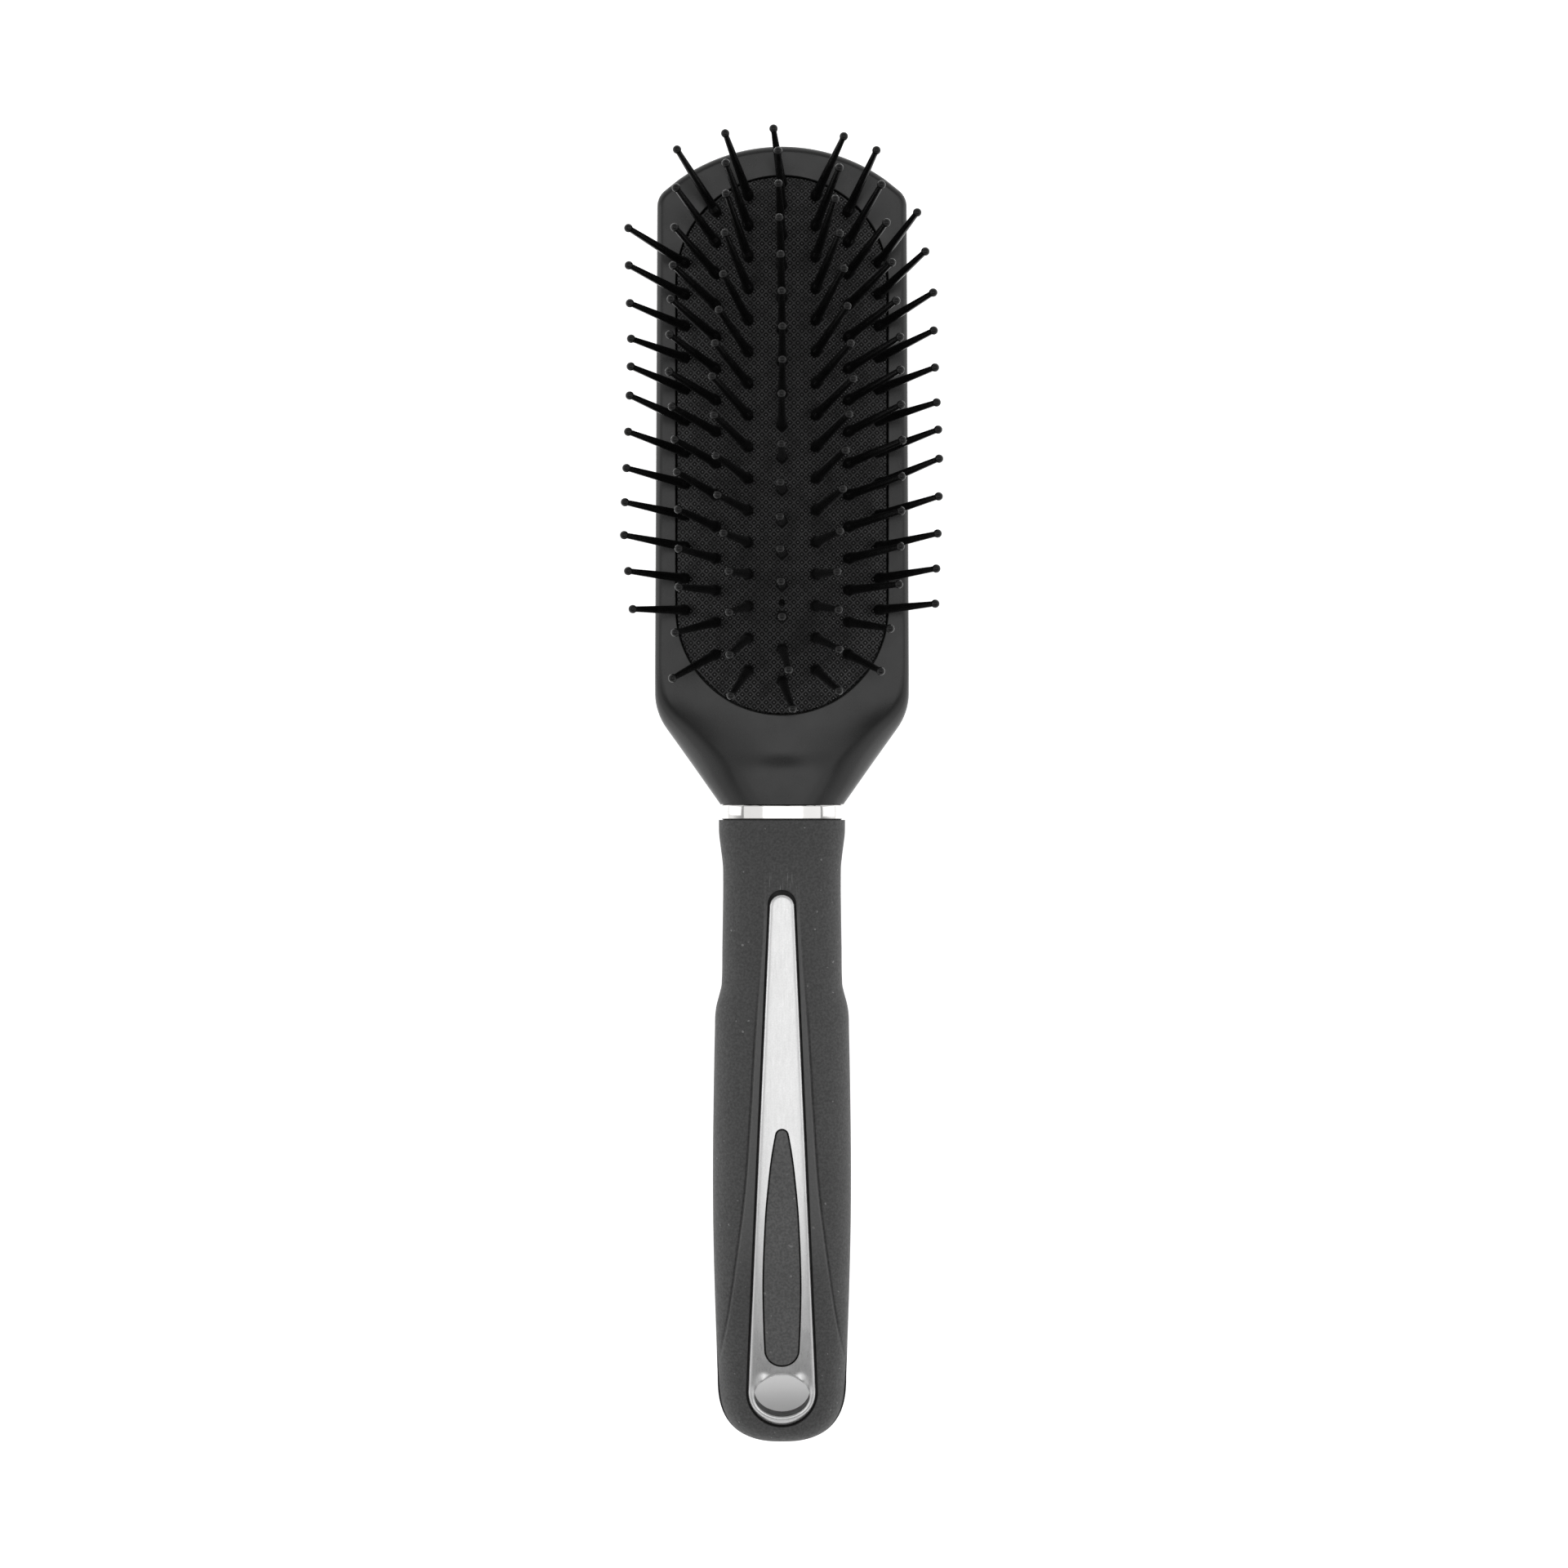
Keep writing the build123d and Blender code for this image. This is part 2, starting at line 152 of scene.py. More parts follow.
def distance_to(line, points):
    """Distance from each point to an open line of many points, worked out in batches."""
    start, end = line[:-1], line[1:]
    along = end - start
    length_squared = (along**2).sum(1)
    batch = 2000
    found = np.empty(len(points))
    for first in range(0, len(points), batch):
        p = points[first : first + batch]
        t = np.clip(((p[:, None] - start) * along).sum(2) / length_squared, 0, 1)
        nearest = start + t[..., None] * along
        found[first : first + batch] = np.sqrt(((p[:, None] - nearest) ** 2).sum(2)).min(1)
    return found


def make_object(name, vertices, faces, material, flat_angle=35):
    """A mesh object from millimetre vertices, smooth but for edges sharper than an angle."""
    mesh = bpy.data.meshes.new(name)
    mesh.from_pydata((np.asarray(vertices) * MM).tolist(), [], faces)
    mesh.validate()
    piece = bpy.data.objects.new(name, mesh)
    bpy.context.scene.collection.objects.link(piece)
    mesh.materials.append(material)
    tidy_mesh(piece, flat_angle)
    return piece


def tidy_mesh(piece, flat_angle):
    bpy.context.view_layer.objects.active = piece
    for other in bpy.context.selected_objects:
        other.select_set(False)
    piece.select_set(True)
    bpy.ops.object.mode_set(mode="EDIT")
    bpy.ops.mesh.select_all(action="SELECT")
    bpy.ops.mesh.remove_doubles(threshold=2e-6)
    bpy.ops.mesh.normals_make_consistent(inside=False)
    bpy.ops.object.mode_set(mode="OBJECT")
    bpy.ops.object.shade_smooth_by_angle(angle=math.radians(flat_angle))


def skin_rings(rings, close_first=False, close_last=False):
    """Vertices and faces of a tube through rings of equal length."""
    count = len(rings[0])
    vertices = np.vstack(rings)
    faces = []
    for k in range(len(rings) - 1):
        low, high = k * count, (k + 1) * count
        for i in range(count):
            j = (i + 1) % count
            faces.append((low + i, low + j, high + j, high + i))
    if close_first:
        faces.append(tuple(range(count - 1, -1, -1)))
    if close_last:
        last = (len(rings) - 1) * count
        faces.append(tuple(range(last, last + count)))
    return vertices, faces


def lifted(points, height):
    """A flat ring of points with a height each."""
    return np.column_stack([points, np.broadcast_to(height, len(points))])


def cut(piece, cutter):
    """Takes the cutter's space out of a piece and removes the cutter."""
    step = piece.modifiers.new("cut", "BOOLEAN")
    step.operation = "DIFFERENCE"
    step.solver = "EXACT"
    step.object = cutter
    bpy.context.view_layer.objects.active = piece
    bpy.ops.object.modifier_apply(modifier=step.name)
    bpy.data.objects.remove(cutter)


# ---- materials -----------------------------------------------------------------------------------
class Paint:
    """A Principled material whose colour, roughness and bump come from procedural nodes."""

    def __init__(self, name, metallic=0.0, specular=0.5):
        self.material = bpy.data.materials.new(name)
        self.material.use_nodes = True
        self.tree = self.material.node_tree
        self.shader = self.tree.nodes["Principled BSDF"]
        self.shader.inputs["Metallic"].default_value = metallic
        self.shader.inputs["Specular IOR Level"].default_value = specular
        self.place = self.tree.nodes.new("ShaderNodeTexCoord").outputs["Object"]

    def noise(self, scale, detail=3.0, stretch=(1, 1, 1)):
        """Grey noise whose grain is about 1 / scale metres."""
        spread = self.tree.nodes.new("ShaderNodeMapping")
        spread.inputs["Scale"].default_value = stretch
        self.tree.links.new(self.place, spread.inputs["Vector"])
        made = self.tree.nodes.new("ShaderNodeTexNoise")
        made.inputs["Scale"].default_value = scale
        made.inputs["Detail"].default_value = detail
        self.tree.links.new(spread.outputs[0], made.inputs["Vector"])
        return made.outputs["Fac"]

    def ramp(self, source, stops):
        """Colours against a grey value. Each stop is a place and a grey or an RGB."""
        made = self.tree.nodes.new("ShaderNodeValToRGB")
        elements = made.color_ramp.elements
        while len(elements) < len(stops):
            elements.new(0.5)
        for element, (place, colour) in zip(elements, stops):
            element.position = place
            colour = (colour,) * 3 if isinstance(colour, float) else colour
            element.color = (*colour, 1.0)
        self.tree.links.new(source, made.inputs["Fac"])
        return made.outputs["Color"]

    def mix(self, share, first, second, blend="MIX"):
        made = self.tree.nodes.new("ShaderNodeMix")
        made.data_type = "RGBA"
        made.blend_type = blend
        for value, socket in ((share, 0), (first, 6), (second, 7)):
            if isinstance(value, bpy.types.NodeSocket):
                self.tree.links.new(value, made.inputs[socket])
            else:
                made.inputs[socket].default_value = value
        return made.outputs[2]

    def math(self, operation, first, second=0.0):
        made = self.tree.nodes.new("ShaderNodeMath")
        made.operation = operation
        for value, socket in ((first, 0), (second, 1)):
            if isinstance(value, bpy.types.NodeSocket):
                self.tree.links.new(value, made.inputs[socket])
            else:
                made.inputs[socket].default_value = value
        return made.outputs[0]

    def map_range(self, source, start, end):
        """Eases from the end's first value to its second while the source crosses the start's."""
        made = self.tree.nodes.new("ShaderNodeMapRange")
        made.interpolation_type = "SMOOTHSTEP"
        self.tree.links.new(source, made.inputs["Value"])
        for value, socket in zip((*start, *end), ("From Min", "From Max", "To Min", "To Max")):
            if isinstance(value, bpy.types.NodeSocket):
                self.tree.links.new(value, made.inputs[socket])
            else:
                made.inputs[socket].default_value = value
        return made.outputs["Result"]

    def distance(self, centre):
        made = self.tree.nodes.new("ShaderNodeVectorMath")
        made.operation = "DISTANCE"
        made.inputs[1].default_value = centre
        self.tree.links.new(self.place, made.inputs[0])
        return made.outputs["Value"]

    def across(self, direction, start=(0.0, 0.0, 0.0)):
        """Distance from a start, in metres, along a direction."""
        from_start = self.tree.nodes.new("ShaderNodeVectorMath")
        from_start.operation = "SUBTRACT"
        from_start.inputs[1].default_value = start
        self.tree.links.new(self.place, from_start.inputs[0])
        made = self.tree.nodes.new("ShaderNodeVectorMath")
        made.operation = "DOT_PRODUCT"
        made.inputs[1].default_value = direction
        self.tree.links.new(from_start.outputs[0], made.inputs[0])
        return made.outputs["Value"]

    def colour(self, source):
        self.tree.links.new(source, self.shader.inputs["Base Color"])

    def roughness(self, source):
        self.tree.links.new(source, self.shader.inputs["Roughness"])

    def bumps(self, *layers):
        """Stacks bumps. Each layer is a grey source and its depth in metres."""
        normal = None
        for source, depth in layers:
            made = self.tree.nodes.new("ShaderNodeBump")
            made.inputs["Distance"].default_value = depth
            made.inputs["Strength"].default_value = 1.0
            self.tree.links.new(source, made.inputs["Height"])
            if normal is not None:
                self.tree.links.new(normal, made.inputs["Normal"])
            normal = made.outputs["Normal"]
        self.tree.links.new(normal, self.shader.inputs["Normal"])


def speckle(paint, scale, share):
    """Sparse dots: the grains of a fine noise that rise above a share of it."""
    grain = paint.noise(scale, detail=1.0)
    return paint.ramp(grain, ((share, 0.0), (share + SPECKLE_EDGE, 1.0)))


def head_plastic():
    paint = Paint("head_plastic", specular=0.42)
    paint.colour(paint.ramp(paint.noise(45, 4), ((0.3, 0.013), (0.7, 0.019))))
    paint.roughness(paint.ramp(paint.noise(260, 5), ((0.3, 0.22), (0.7, 0.3))))
    paint.bumps((paint.noise(2600, 2), 6e-6), (paint.noise(120, 3), 2.5e-5))
    return paint.material


def cushion_rubber():
    """Black rubber. The knurl's ridges, and the small peak in each of its pits, are painted grey:
    painted highlights where the knurl catches the light, stronger or weaker at random.
    """
    paint = Paint("cushion_rubber", specular=0.12)
    start = (0.0, PAD_CENTRE_Y * MM, 0.0)
    slant = math.sqrt(0.5)
    apart = []
    for direction in ((slant, slant, 0.0), (-slant, slant, 0.0)):
        cells = paint.math("DIVIDE", paint.across(direction, start), KNURL_PITCH * MM)
        apart.append(paint.math("PINGPONG", cells, 0.5))
    from_ridge = paint.math("MINIMUM", *apart)
    # painted highlights: the knurl's ridges and the peak in each pit are painted grey where they
    # would catch the light
    ridge = paint.ramp(from_ridge, ((0.06, 1.0), (0.15, 0.0)))
    peak = paint.ramp(from_ridge, ((0.37, 0.0), (0.42, 1.0)))
    highlight_variation = paint.ramp(paint.noise(420, 3), ((0.3, 0.45), (0.65, 1.0)))
    black = paint.ramp(paint.noise(300, 5), ((0.35, 0.0015), (0.7, 0.003)))
    ridge_highlighted = paint.mix(paint.mix(1.0, ridge, highlight_variation, "MULTIPLY"), black, (0.05, 0.05, 0.051, 1.0))
    peak_highlight = paint.mix(1.0, peak, highlight_variation, "MULTIPLY")
    paint.colour(paint.mix(peak_highlight, ridge_highlighted, (0.13, 0.13, 0.132, 1.0)))
    paint.roughness(paint.ramp(paint.noise(900, 4), ((0.3, 0.46), (0.7, 0.6))))
    paint.bumps((paint.noise(6000, 2), 6e-6), (peak, 2e-5))
    return paint.material


def pin_nylon():
    paint = Paint("pin_nylon", specular=0.26)
    paint.colour(paint.ramp(paint.noise(150, 3), ((0.3, 0.0022), (0.7, 0.0045))))
    paint.roughness(paint.ramp(paint.noise(700, 4), ((0.3, 0.16), (0.7, 0.27))))
    paint.bumps((paint.noise(1500, 3, stretch=(1, 1, 0.3)), 8e-6))
    return paint.material


def ring_chrome():
    paint = Paint("ring_chrome", metallic=1.0)
    cloud = paint.noise(80, 3)
    paint.colour(paint.ramp(cloud, ((0.3, (0.78, 0.77, 0.755)), (0.7, (0.86, 0.85, 0.84)))))
    smear = paint.noise(500, 5, stretch=(1, 8, 1))
    paint.roughness(paint.ramp(smear, ((0.35, 0.045), (0.75, 0.12))))
    paint.bumps((paint.noise(350, 2), 4e-6))
    return paint.material


# middle of the scuffs past the inlay's top end, in metres
SCUFF_PLACE = (0.0, -0.0166, 0.0135)


def soft_touch(name, low, high, painted_sheen=None):
    """Fine-grained dark plastic. Where the bead's attribute is set it is smoother and painted
    lighter, a painted sheen on the bead beside the inlay, and past the inlay's top end it has a few
    pale scuffs."""
    paint = Paint(name, specular=0.5)
    base = paint.ramp(paint.noise(2300, 2), ((0.36, low), (0.66, high)))
    cloud = paint.ramp(paint.noise(60, 4), ((0.3, 0.86), (0.7, 1.0)))
    tinted = paint.mix(1.0, base, cloud, "MULTIPLY")
    dust = speckle(paint, 900, 0.75)
    dust_and_sheen = paint.mix(dust, tinted, (0.16, 0.16, 0.16, 1.0))
    rough = paint.ramp(paint.noise(1400, 3), ((0.3, 0.58), (0.7, 0.72)))
    if painted_sheen is not None:
        lines = paint.noise(1100, 2, stretch=(2.5, 0.22, 1))
        streak = paint.ramp(lines, ((0.58, 0.0), (0.72, 1.0)))
        scuffed = paint.map_range(paint.distance(SCUFF_PLACE), (0.0012, 0.0044), (0.8, 0.0))
        dust_and_sheen = paint.mix(paint.math("MULTIPLY", scuffed, streak), dust_and_sheen, (0.2, 0.2, 0.2, 1.0))
        # painted sheen: the bead beside the inlay is painted a lighter grey where it would catch
        # the light, and made smoother
        sheen_mask = paint.tree.nodes.new("ShaderNodeAttribute")
        sheen_mask.attribute_name = "painted_sheen"
        share = paint.math("MULTIPLY", sheen_mask.outputs["Fac"], 0.6)
        dust_and_sheen = paint.mix(share, dust_and_sheen, (painted_sheen, painted_sheen, painted_sheen, 1.0))
        rough = paint.mix(share, rough, (0.4, 0.4, 0.4, 1.0))
    paint.colour(dust_and_sheen)
    paint.roughness(rough)
    paint.bumps((paint.noise(3200, 2), 2.2e-5), (paint.noise(240, 3), 2e-5))
    return paint.material


def inlay_silver():
    """Satin silver paint with a faint lengthwise grain."""
    paint = Paint("inlay_silver", metallic=0.82, specular=0.5)
    flakes = paint.ramp(paint.noise(3500, 1), ((0.35, 0.69), (0.65, 0.74)))
    cloud = paint.ramp(paint.noise(90, 4), ((0.3, 0.96), (0.7, 1.0)))
    grain = paint.ramp(paint.noise(500, 3, stretch=(6, 0.4, 6)), ((0.3, 0.93), (0.7, 1.0)))
    paint.colour(paint.mix(1.0, paint.mix(1.0, flakes, cloud, "MULTIPLY"), grain, "MULTIPLY"))
    sheen = paint.noise(800, 4, stretch=(4, 0.5, 4))
    paint.roughness(paint.ramp(sheen, ((0.3, 0.27), (0.7, 0.33))))
    paint.bumps((paint.noise(2600, 2), 1.2e-6))
    return paint.material


def core_plastic():
    paint = Paint("core_plastic", specular=0.4)
    paint.colour(paint.ramp(paint.noise(200, 3), ((0.3, 0.006), (0.7, 0.011))))
    paint.roughness(paint.ramp(paint.noise(600, 4), ((0.3, 0.45), (0.7, 0.6))))
    paint.bumps((paint.noise(2000, 2), 1e-5))
    return paint.material


# ---- paddle head ---------------------------------------------------------------------------------
HEAD_THICK = 12.5
NECK_Y = -1.65
NECK_HALF_WIDTH = 11.5
SHOULDER = (23.55, 15.4)
SHOULDER_ROUND = 11.0
CORNER_Y = 110.8
CORNER_HALF_WIDTH = 23.1
CORNER_ROUND = 3.8
HEAD_FAR_Y = 120.2
PAD_CENTRE_Y = 64.8
PAD_STRAIGHT = 30.25
PAD_HALF_WIDTH = 19.35
PAD_CROWN = 6.0
PAD_GAP = 0.25
RECESS_FLOOR = 4.0
RECESS_RIM_DEPTH = 4.0
RECESS_LIP = 0.22
CROWN_RADIUS = 40.0
HEAD_BACK_ROUND = 3.4
HEAD_FRONT_INSET = 2.3
# reach and depth of the front's rounding at the sides, and what the neck end adds to them
SIDE_REACH, SIDE_DEPTH = 1.2, 1.2
NECK_REACH, NECK_DEPTH = 5.3, 3.4
# the dish in the middle of the neck
DISH_HALF_WIDTH, DISH_DEPTH = 7.5, 0.75
# stretches along the brush over which the neck's shape and the dish's two ends fade
NECK_STRETCH, DISH_FAR_END, DISH_NECK_END = (3.0, 25.0), (4.0, 8.8), (-4.0, 3.6)


def head_outline(count):
    """The head's closed outline, counter-clockwise from the middle of the neck."""
    rise = HEAD_FAR_Y - CORNER_Y
    radius = (CORNER_HALF_WIDTH**2 + rise**2) / (2 * rise)
    far_centre = (0.0, HEAD_FAR_Y - radius)
    far_angle = math.degrees(math.atan2(CORNER_Y - far_centre[1], CORNER_HALF_WIDTH))
    far_arc = arc(far_centre, radius, far_angle, 90, 60)
    after_corner = far_arc[6]
    corner = (CORNER_HALF_WIDTH, CORNER_Y)
    neck = np.column_stack([np.linspace(0, NECK_HALF_WIDTH, 30), np.full(30, NECK_Y)])
    right = np.vstack([
        neck,
        rounded_corner(neck[-1], SHOULDER, corner, SHOULDER_ROUND),
        rounded_corner(SHOULDER, corner, after_corner, CORNER_ROUND),
        far_arc[12:],
    ])
    right[-1, 0] = 0.0
    outline = mirrored(right)
    return resample(outline, count)


def neck_corners_kept(outline):
    """Moves the two nearest points onto the sharp corners of the neck."""
    for side in (-1, 1):
        corner = np.array([side * NECK_HALF_WIDTH, NECK_Y])
        nearest = np.linalg.norm(outline - corner, axis=1).argmin()
        outline[nearest] = corner
    return outline


def toward_pad(points, radius):
    """Each point's partner on a stadium round the pad's centre line, at a radius."""
    low_y, high_y = PAD_CENTRE_Y - PAD_STRAIGHT, PAD_CENTRE_Y + PAD_STRAIGHT
    centres = onto_middle(points, low_y, high_y)
    away = points - centres
    return centres + radius * away / np.linalg.norm(away, axis=1)[:, None]


def head_side_line(outline):
    """The outline without its neck end, carried on straight past the neck."""
    sides = outline[outline[:, 1] > NECK_Y + 0.05]
    right_end = np.array([[NECK_HALF_WIDTH, NECK_Y]])
    taper = np.array([SHOULDER[0] - NECK_HALF_WIDTH, SHOULDER[1] - NECK_Y])
    past = right_end - taper
    return np.vstack([past, right_end, sides, right_end * (-1, 1), past * (-1, 1)])


def corner_drop(edge, reach, depth):
    """How far a face lies under its flat height, at a distance from a softly rounded edge."""
    inside = np.clip(edge / reach, 0, 1)
    return depth * (1 - np.sqrt(1 - (1 - inside) ** 2))


def head_front(points, side_line):
    """Height of the head's front: flat, rounded at the sides, softer and dished at the neck."""
    edge = distance_to(side_line, points)
    x, y = points[:, 0], points[:, 1]
    toward_neck = 1 - smoothstep(y, *NECK_STRETCH)
    reach = SIDE_REACH + NECK_REACH * toward_neck
    depth = SIDE_DEPTH + NECK_DEPTH * toward_neck
    dish = (1 - smoothstep(y, *DISH_FAR_END)) * smoothstep(y, *DISH_NECK_END)
    dish = dish * np.exp(-((x / DISH_HALF_WIDTH) ** 2))
    crown = toward_neck**2 * x**2 / (2 * CROWN_RADIUS)
    return HEAD_THICK - corner_drop(edge, reach, depth) - crown - DISH_DEPTH * dish


def head_back(points, side_line):
    """Height of the head's back: flat, round at the sides."""
    inside = np.clip(distance_to(side_line, points), 0, HEAD_BACK_ROUND)
    return HEAD_BACK_ROUND - np.sqrt(HEAD_BACK_ROUND**2 - (HEAD_BACK_ROUND - inside) ** 2)


def paddle_shell(material):
    outline = neck_corners_kept(head_outline(560))
    side_line = head_side_line(outline)
    rim = PAD_HALF_WIDTH + PAD_GAP
    lip = RECESS_LIP
    rings = []
    back_inset = inset(outline, HEAD_BACK_ROUND, NECK_Y)
    spine = toward_pad(back_inset, 0.0)
    for share in np.linspace(0, 1, 12)[:-1]:
        rings.append(lifted(spine + (back_inset - spine) * share, 0.0))
    for turn in np.linspace(90, 0, 10):
        flat = inset(outline, HEAD_BACK_ROUND * (1 - math.cos(math.radians(turn))), NECK_Y)
        rings.append(lifted(flat, head_back(flat, side_line)))
    front_inset = inset(outline, HEAD_FRONT_INSET, NECK_Y)
    for turn in np.linspace(0, 90, 14):
        flat = inset(outline, HEAD_FRONT_INSET * (1 - math.cos(math.radians(turn))), NECK_Y)
        rings.append(lifted(flat, head_front(flat, side_line)))
    inner = toward_pad(front_inset, rim + lip)
    for share in np.linspace(0, 1, 44)[1:]:
        flat = front_inset + (inner - front_inset) * share
        rings.append(lifted(flat, head_front(flat, side_line)))
    lip_height = head_front(inner, side_line)
    for turn in np.linspace(0, 90, 6)[1:]:
        angle = math.radians(turn)
        flat = toward_pad(front_inset, rim + lip * (1 - math.sin(angle)))
        rings.append(lifted(flat, lip_height - lip * (1 - math.cos(angle))))
    rings.append(lifted(toward_pad(front_inset, rim), HEAD_THICK - RECESS_RIM_DEPTH))
    rings.append(lifted(toward_pad(front_inset, rim), RECESS_FLOOR))
    for radius in np.linspace(rim, 0.0, 6)[1:]:
        rings.append(lifted(toward_pad(front_inset, radius), RECESS_FLOOR))
    vertices, faces = skin_rings(rings)
    piece = make_object("paddle_shell", vertices, faces, material)
    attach(piece, "paddle")
    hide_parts("paddle_head")
    return piece


# ---- air cushion ---------------------------------------------------------------------------------
KNURL_PITCH = 1.035
KNURL_DEPTH = 0.07
# heights of the knurl's ridges, peaks and pits, as shares of its depth
KNURL_RIDGE, KNURL_PEAK, KNURL_PIT = 0.6, 0.4, -0.8
VENT = (0.0, 35.4)
VENT_RADIUS = 0.65
# the sheet's border, inside the pad's outline, and how it turns down into the head's gap
SHEET_MARGIN = 0.5
SHEET_TURN_DROP = 0.45
SHEET_SKIRT_DROP = 4.0
SHEET_THICK = 1.6


def pad_edge_distance(x, y):
    past = np.maximum(0.0, np.abs(y - PAD_CENTRE_Y) - PAD_STRAIGHT)
    return PAD_HALF_WIDTH - np.hypot(x, past)


def dome(x, y):
    radius = (PAD_HALF_WIDTH**2 + PAD_CROWN**2) / (2 * PAD_CROWN)
    past = np.maximum(0.0, np.abs(y - PAD_CENTRE_Y) - PAD_STRAIGHT)
    reach = np.minimum(x**2 + past**2, PAD_HALF_WIDTH**2)
    return HEAD_THICK + PAD_CROWN - radius + np.sqrt(radius**2 - reach)


def cushion_skin(material):
    """The domed rubber sheet: slanting ridges that cross, with a small peak in each pit."""
    step = KNURL_PITCH / 4
    reach = int(75 / step)
    index = np.arange(-reach, reach + 1)
    i, j = np.meshgrid(index, index, indexing="ij")
    x = (i - j) * step / math.sqrt(2)
    y = PAD_CENTRE_Y + (i + j) * step / math.sqrt(2)
    inside = pad_edge_distance(x, y) > 0.55
    inside &= np.hypot(x - VENT[0], y - VENT[1]) > VENT_RADIUS + 0.1
    ridge_highlighted = (i % 4 == 0) | (j % 4 == 0)
    on_peak = (i % 4 == 2) & (j % 4 == 2)
    knurl = np.where(ridge_highlighted, KNURL_RIDGE, np.where(on_peak, KNURL_PEAK, KNURL_PIT))
    number = -np.ones(inside.shape, int)
    number[inside] = np.arange(inside.sum())
    square = inside[:-1, :-1] & inside[1:, :-1] & inside[1:, 1:] & inside[:-1, 1:]
    a, b = number[:-1, :-1][square], number[1:, :-1][square]
    c, d = number[1:, 1:][square], number[:-1, 1:][square]
    faces = np.column_stack([a, b, c, d])
    flat = np.column_stack([x[inside], y[inside]])
    height = dome(flat[:, 0], flat[:, 1])
    edge = pad_edge_distance(flat[:, 0], flat[:, 1])
    height = height + KNURL_DEPTH * knurl[inside] * smoothstep(edge, 0.4, 1.4)
    used = np.zeros(len(flat), int)
    np.add.at(used, faces.ravel(), 1)
    loose = used == 0
    border = (used > 0) & (used < 4)
    near_vent = np.hypot(flat[:, 0] - VENT[0], flat[:, 1] - VENT[1]) < 3.0
    rim = border & ~near_vent
    snapped = toward_pad(flat[rim], PAD_HALF_WIDTH - SHEET_MARGIN)
    flat[rim] = snapped
    height[rim] = dome(snapped[:, 0], snapped[:, 1])
    ring = border & near_vent
    away = flat[ring] - VENT
    flat[ring] = VENT + VENT_RADIUS * away / np.linalg.norm(away, axis=1)[:, None]
    height[ring] = dome(flat[ring][:, 0], flat[ring][:, 1])
    vertices = np.column_stack([flat, height])
    keep = ~loose
    renumber = np.cumsum(keep) - 1
    vertices, faces = vertices[keep], renumber[faces]
    faces = [tuple(int(v) for v in face) for face in faces]
    vertices, faces = add_skirts(vertices, faces, near_vent[keep])
    piece = make_object("cushion_skin", vertices, faces, material, flat_angle=60)
    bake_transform(piece)
    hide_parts("air_cushion")
    return piece


def add_skirts(vertices, faces, vent_side):
    """Carries the sheet's outer border down into the head's gap, and the vent's border down."""
    edges = {}
    for face in faces:
        for a, b in zip(face, face[1:] + face[:1]):
            edges[(a, b)] = edges.get((a, b), 0) + 1
    open_edges = [(a, b) for (a, b) in edges if (b, a) not in edges]
    rows = [vertices]
    count = len(vertices)
    loop_points = sorted({a for a, b in open_edges} | {b for a, b in open_edges})
    place = {p: k for k, p in enumerate(loop_points)}
    levels = 7
    for level in range(1, levels + 1):
        made = vertices[loop_points].copy()
        outer = ~vent_side[loop_points]
        turn = math.radians(min(level, levels - 1) * 90 / (levels - 1))
        if level < levels:
            grown = PAD_HALF_WIDTH - SHEET_MARGIN + SHEET_MARGIN * math.sin(turn)
            drop = SHEET_TURN_DROP * (1 - math.cos(turn))
        else:
            grown, drop = PAD_HALF_WIDTH, SHEET_SKIRT_DROP
        made[outer, :2] = toward_pad(made[outer, :2], grown)
        made[outer, 2] -= drop + 0.12 * math.sin(turn)
        made[~outer, 2] -= SHEET_THICK * level / levels
        rows.append(made)
    faces = list(faces)
    for level in range(levels):
        for a, b in open_edges:
            low_a = a if level == 0 else count + (level - 1) * len(loop_points) + place[a]
            low_b = b if level == 0 else count + (level - 1) * len(loop_points) + place[b]
            high_a = count + level * len(loop_points) + place[a]
            high_b = count + level * len(loop_points) + place[b]
            faces.append((low_b, low_a, high_a, high_b))
    return np.vstack(rows), faces


# ---- handle --------------------------------------------------------------------------------------
GRIP_TOP_Y = -4.55
TAIL_Y = -120.2
# half width of the grip along the brush
GRIP_WIDTH = (
    (-4.55, 11.78), (-7.0, 11.74), (-10.0, 11.38), (-13.0, 11.03), (-16.0, 10.98), (-22.0, 11.03),
    (-28.0, 11.12), (-34.4, 11.22), (-35.4, 11.28), (-36.2, 11.46), (-39.6, 12.3), (-40.6, 12.42),
    (-43.5, 12.5), (-55.0, 12.72), (-70.0, 12.86), (-80.0, 12.8), (-92.0, 12.52), (-101.0, 12.22),
    (-108.0, 11.98),
)
FRONT_HEIGHT = (
    (-4.55, 13.0), (-14.0, 13.4), (-24.0, 13.8), (-34.0, 14.4), (-41.0, 15.0), (-54.0, 16.0),
    (-69.0, 16.4), (-84.0, 15.8), (-98.0, 14.4), (-110.0, 12.7), (-121.2, 11.6),
)
BACK_HEIGHT = (
    (-4.55, 0.1), (-14.0, 0.4), (-34.0, 0.3), (-54.0, 0.1), (-69.0, 0.1), (-84.0, 0.5),
    (-98.0, 1.6), (-110.0, 2.8), (-121.2, 3.7),
)
# half width of the raised deck round the inlay
DECK_WIDTH = (
    (-10.0, 3.0), (-24.0, 3.3), (-44.0, 4.75), (-60.0, 5.7), (-74.0, 6.75), (-84.0, 8.0),
    (-97.0, 9.9), (-109.0, 12.3), (-121.2, 14.0),
)
DECK_RAISE = 0.26
DECK_EDGE = 0.24
# the crease along the deck's foot
CREASE_OFFSET, CREASE_HALF_WIDTH, CREASE_DEPTH = 0.2, 0.18, 0.24
